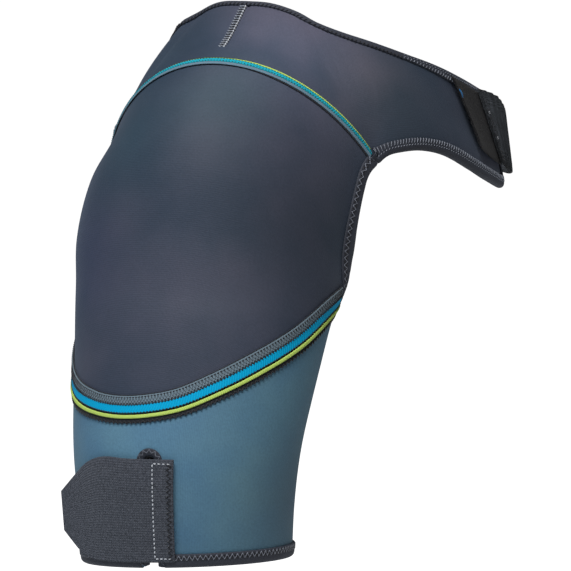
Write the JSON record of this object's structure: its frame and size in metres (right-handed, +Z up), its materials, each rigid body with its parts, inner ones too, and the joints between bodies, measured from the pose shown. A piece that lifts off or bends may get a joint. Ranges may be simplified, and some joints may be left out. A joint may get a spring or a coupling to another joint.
{
  "type": "shoulder brace",
  "caption": "Neoprene shoulder brace for a right shoulder: arm sleeve with bound armhole, stitched tape bands, cuff with slit and closing tab, and a strap round the chest.",
  "frame": {"origin": "underside of the shoulder cap at its crown, where the brace sits on the wearer's right shoulder", "axes": "+X to the wearer's front, +Y from the right shoulder to the wearer's middle, +Z up"},
  "size_m": [0.2127, 0.3924, 0.3053],
  "materials": {
    "charcoal_jersey": "charcoal nylon jersey laminated on neoprene, soft sheen",
    "teal_jersey": "grey-teal nylon jersey laminated on neoprene, soft sheen",
    "slate_tab": "slate brushed loop fabric",
    "black_binding": "black folded jersey binding with overlock stitching",
    "grey_tape": "grey woven tape",
    "blue_braid": "bright blue flat braid",
    "lime_cord": "pale lime corded braid",
    "black_webbing": "black elastic webbing and hook tape"
  },
  "bodies": {
    "root": {"shoulder_panel": "charcoal_jersey", "yoke_panel": "charcoal_jersey", "cuff_panel": "teal_jersey", "yoke_binding": "black_binding", "armhole_binding": "black_binding", "hem_binding": "black_binding", "slit_binding": "black_binding", "seam_backing_tape": "black_binding", "seam_grey_tape": "grey_tape", "seam_blue_braid": "blue_braid", "seam_lime_cord": "lime_cord", "band_backing_tape": "black_binding", "band_grey_tape": "grey_tape", "band_blue_braid": "blue_braid", "band_lime_cord": "lime_cord", "cuff_tab": "slate_tab", "strap_hook_tab": "black_webbing", "chest_strap": "black_webbing"}
  },
  "joints": []
}
